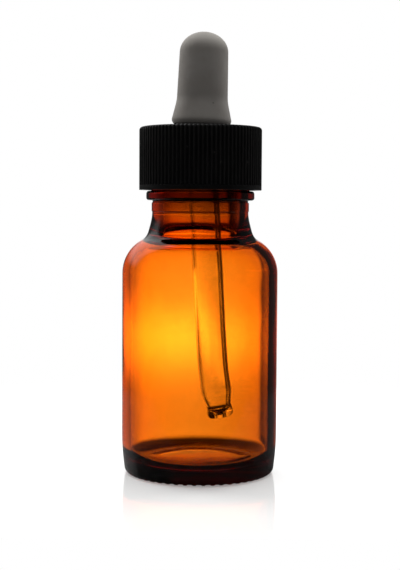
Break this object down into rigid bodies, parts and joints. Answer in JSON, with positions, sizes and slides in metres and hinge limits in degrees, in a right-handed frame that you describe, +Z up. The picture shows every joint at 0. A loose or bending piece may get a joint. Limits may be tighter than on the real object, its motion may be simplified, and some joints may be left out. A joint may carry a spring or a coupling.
{
  "type": "dropper bottle",
  "caption": "Round amber glass bottle with a ribbed screw cap, a rubber squeeze bulb and a glass pipette for dispensing liquid in drops.",
  "frame": {"origin": "centre of the ring that the bottle stands on", "axes": "+Z up along the bottle's axis, +X towards the side that the pipette's tip and the bulb lean to, -Y towards the viewer of the picture"},
  "size_m": [0.0344, 0.0344, 0.0976],
  "materials": {
    "amber_glass": "clear moulded amber glass",
    "black_plastic": "moulded black plastic with a soft sheen",
    "grey_rubber": "matt warm grey rubber",
    "clear_glass": "clear drawn glass tube",
    "washer_rubber": "pale elastomer sheet"
  },
  "bodies": {
    "bottle": {"bottle": "amber_glass"},
    "washer": {"sealing_washer": "washer_rubber"},
    "dropper": {"glass_pipette": "clear_glass"},
    "cap": {"screw_cap": "black_plastic"},
    "bulb": {"rubber_bulb": "grey_rubber"}
  },
  "joints": [
    {"name": "dropper_lift", "type": "slide", "parent": "bottle", "child": "washer", "axis": [0, 0, 1], "range_m": [0, 0.07]},
    {"name": "thread_rise", "type": "slide", "parent": "washer", "child": "dropper", "axis": [0, 0, 1], "range_m": [0, 0.004]},
    {"name": "cap_turn", "type": "hinge", "parent": "dropper", "child": "cap", "pos_m": [0, 0, 0.07], "axis": [0, 0, 1], "range_deg": [0, 450]},
    {"name": "bulb_press", "type": "slide", "parent": "dropper", "child": "bulb", "axis": [0, 0, -1], "range_m": [0, 0.005], "stiffness_N_per_m": 800, "deforming": ["rubber_bulb"]}
  ],
  "couplings": [
    {"joint": "thread_rise", "follows": "cap_turn", "m_per_rad": 0.00050532}
  ]
}
